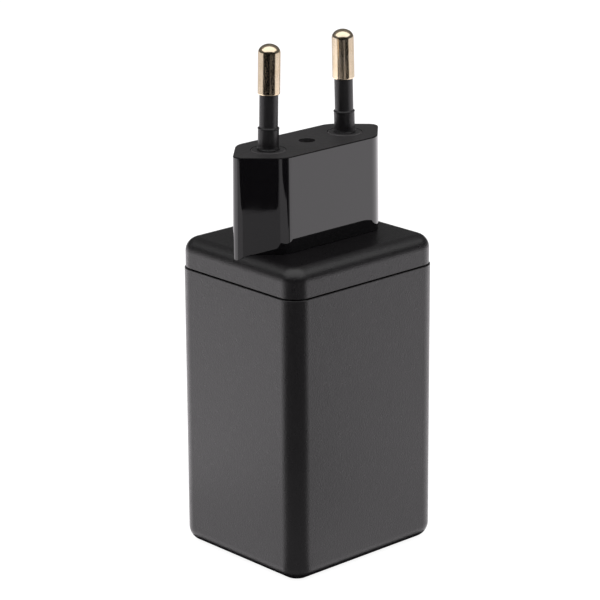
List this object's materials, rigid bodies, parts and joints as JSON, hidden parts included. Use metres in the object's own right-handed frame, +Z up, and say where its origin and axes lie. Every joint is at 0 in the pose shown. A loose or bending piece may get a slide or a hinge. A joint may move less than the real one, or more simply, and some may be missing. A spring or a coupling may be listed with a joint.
{
  "type": "usb wall charger",
  "caption": "Tall rounded-box mains charger with a fixed two-pin European plug block on one end and USB-C and USB-A ports on the other.",
  "frame": {"origin": "middle of the flat port end, which the charger stands on", "axes": "+Z up from the port end to the pin tips; X along the line of the two pins; Y across it, with the USB-A port on the +Y side"},
  "size_m": [0.0356, 0.0316, 0.0954],
  "materials": {
    "housing_plastic": "satin black, finely textured",
    "gloss_plastic": "polished black sides, matte end face",
    "sleeve_plastic": "satin black",
    "pin_metal": "nickel-plated brass, warm",
    "contact_metal": "satin",
    "board": "green solder mask",
    "fuse_body": "ceramic",
    "blue_epoxy": "dipped",
    "dark_epoxy": "dipped",
    "yellow_case": "moulded",
    "choke_ferrite": "green coated",
    "core_ferrite": "matte ground",
    "copper": "enamelled",
    "insulated_wire": "satin",
    "polyester_tape": "yellow film",
    "can_aluminium": "drawn",
    "shrink_film": "shrunk",
    "chip_plastic": "moulded epoxy",
    "bobbin_plastic": "phenolic",
    "tinned_metal": "tinned",
    "inductor_body": "pressed powder",
    "thermal_silicone": "soft",
    "spreader_metal": "rolled",
    "film_plastic": "clear to milky",
    "shell_steel": "drawn stainless",
    "connector_plastic": "moulded",
    "gold_contact": "gold plated"
  },
  "bodies": {
    "root": {"main_housing": "housing_plastic", "top_cap": "housing_plastic", "plug_block": "gloss_plastic", "pin_left": "pin_metal", "pin_right": "pin_metal", "pin_sleeve_left": "sleeve_plastic", "pin_sleeve_right": "sleeve_plastic", "pin_bushing_left": "sleeve_plastic", "pin_bushing_right": "sleeve_plastic", "pin_contact_left": "contact_metal", "pin_contact_right": "contact_metal", "input_board": "board", "main_board": "board", "control_board": "board", "port_board": "board", "fuse": "fuse_body", "varistor": "blue_epoxy", "inrush_thermistor": "dark_epoxy", "x_capacitor": "yellow_case", "y_capacitor": "blue_epoxy", "choke_core": "choke_ferrite", "choke_winding_a": "copper", "choke_winding_b": "copper", "bulk_capacitor_a": "can_aluminium", "bulk_capacitor_b": "can_aluminium", "bulk_sleeve_a": "shrink_film", "bulk_sleeve_b": "shrink_film", "transformer_core_a": "core_ferrite", "transformer_core_b": "core_ferrite", "transformer_bobbin": "bobbin_plastic", "transformer_pins": "tinned_metal", "transformer_primary": "copper", "transformer_secondary": "insulated_wire", "transformer_tape": "polyester_tape", "bridge_rectifier": "chip_plastic", "primary_switch": "chip_plastic", "sync_rectifier": "chip_plastic", "optocoupler": "chip_plastic", "output_capacitor_a": "can_aluminium", "output_capacitor_b": "can_aluminium", "buck_inductor_a": "inductor_body", "buck_inductor_b": "inductor_body", "pd_controller": "chip_plastic", "port_switches": "chip_plastic", "thermal_pad": "thermal_silicone", "heat_spreader": "spreader_metal", "insulating_film": "film_plastic", "isolation_sheet": "film_plastic", "usb_a_shell": "shell_steel", "usb_a_insulator": "connector_plastic", "usb_a_contacts": "gold_contact", "usb_c_shell_a": "shell_steel", "usb_c_shell_b": "shell_steel", "usb_c_insulator_a": "connector_plastic", "usb_c_insulator_b": "connector_plastic", "usb_c_contacts_a": "gold_contact", "usb_c_contacts_b": "gold_contact"}
  },
  "joints": []
}
